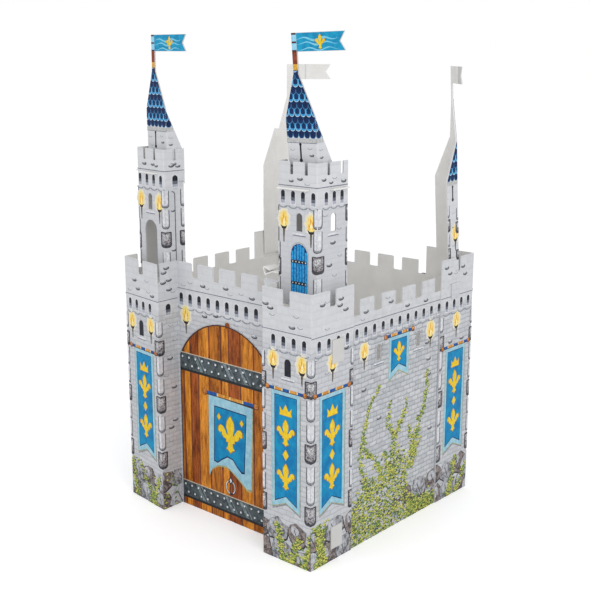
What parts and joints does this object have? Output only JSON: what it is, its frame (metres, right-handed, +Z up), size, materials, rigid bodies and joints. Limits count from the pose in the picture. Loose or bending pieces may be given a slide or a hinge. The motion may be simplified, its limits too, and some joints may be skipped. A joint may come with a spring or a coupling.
{
  "type": "folded card play castle",
  "caption": "Play castle of printed folded card: square curtain wall with corner towers, crowned front turrets, folded spires with swallow-tailed flags, and a cut gate.",
  "frame": {"origin": "centre of the bounding box on the floor", "axes": "+Z up, -Y out of the gate, +X to the right of the gate as it is faced"},
  "size_m": [0.7802, 0.7566, 1.3346],
  "materials": {
    "printed_card": "matte",
    "plain_card": "matte"
  },
  "bodies": {
    "root": {"front_wall": "printed_card", "back_wall": "printed_card", "right_side_wall": "printed_card", "left_side_wall": "printed_card", "front_right_turret": "printed_card", "front_left_turret": "printed_card", "front_right_spire": "printed_card", "front_left_spire": "printed_card", "back_right_spire": "printed_card", "back_left_spire": "printed_card", "front_right_upper_brace": "plain_card", "front_left_upper_brace": "plain_card", "front_right_lower_brace": "plain_card"}
  },
  "joints": []
}
